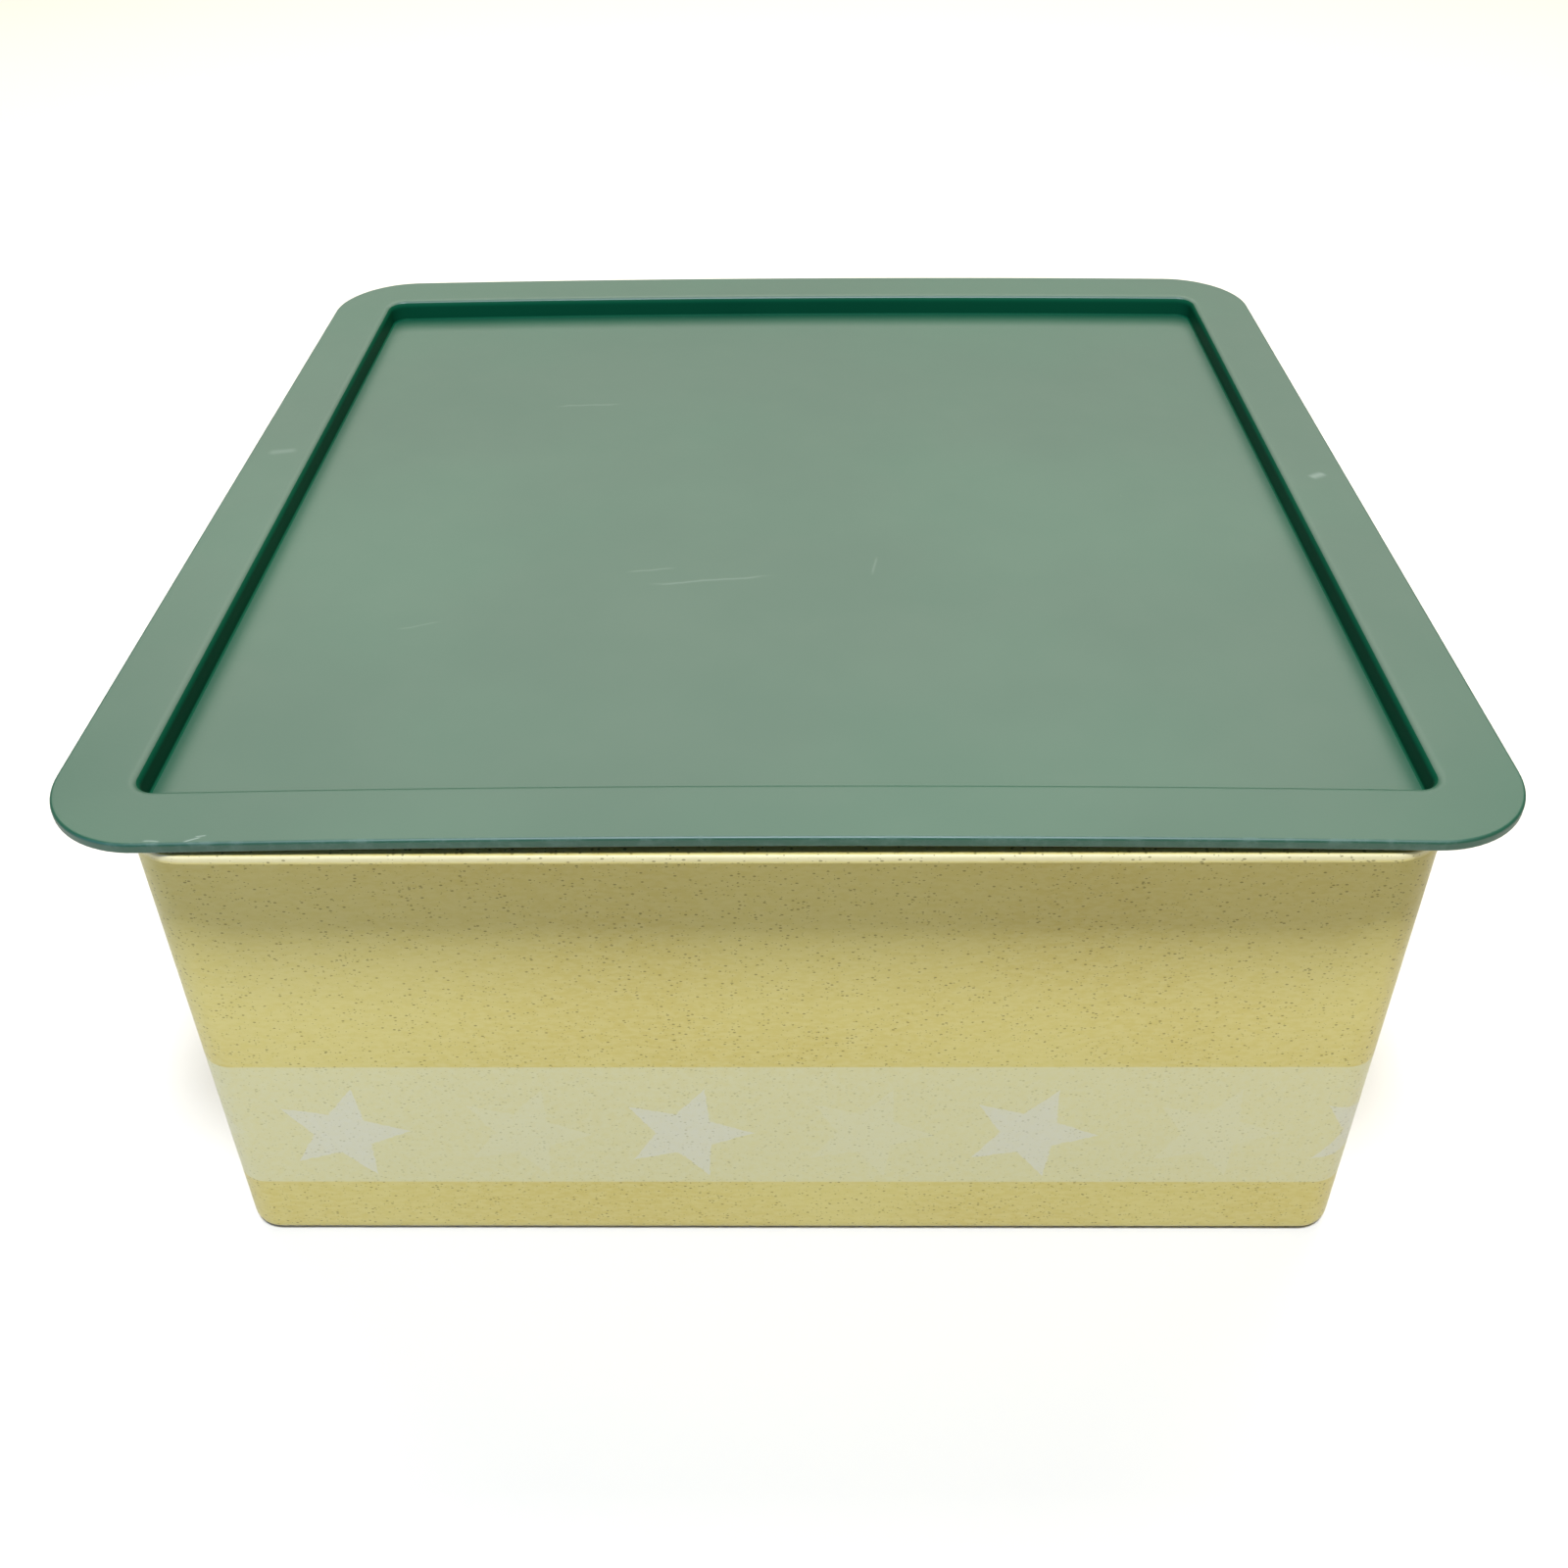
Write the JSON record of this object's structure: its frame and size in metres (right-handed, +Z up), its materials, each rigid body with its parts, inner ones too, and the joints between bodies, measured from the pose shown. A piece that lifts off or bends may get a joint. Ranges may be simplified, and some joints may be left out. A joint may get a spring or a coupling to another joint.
{
  "type": "lidded storage box",
  "caption": "Square moulded storage box with straight walls, rim lips and a wide flat lid whose sunken panel plugs into the box.",
  "frame": {"origin": "middle of the base, on the surface that the box stands on", "axes": "+Z up, the way the lid lifts off; the front wall faces -Y; +X is to the right seen from the front"},
  "size_m": [0.3, 0.3, 0.138],
  "materials": {
    "speckled_cream": "satin cream moulding with fine dark specks and a paler printed band of stars",
    "deep_green": "satin deep green moulding with faint scratches"
  },
  "bodies": {
    "box": {"box_body": "speckled_cream"},
    "lid": {"lid": "deep_green"}
  },
  "joints": [
    {"name": "lid_lift", "type": "slide", "parent": "box", "child": "lid", "axis": [0, 0, 1], "range_m": [0, 0.15]}
  ]
}
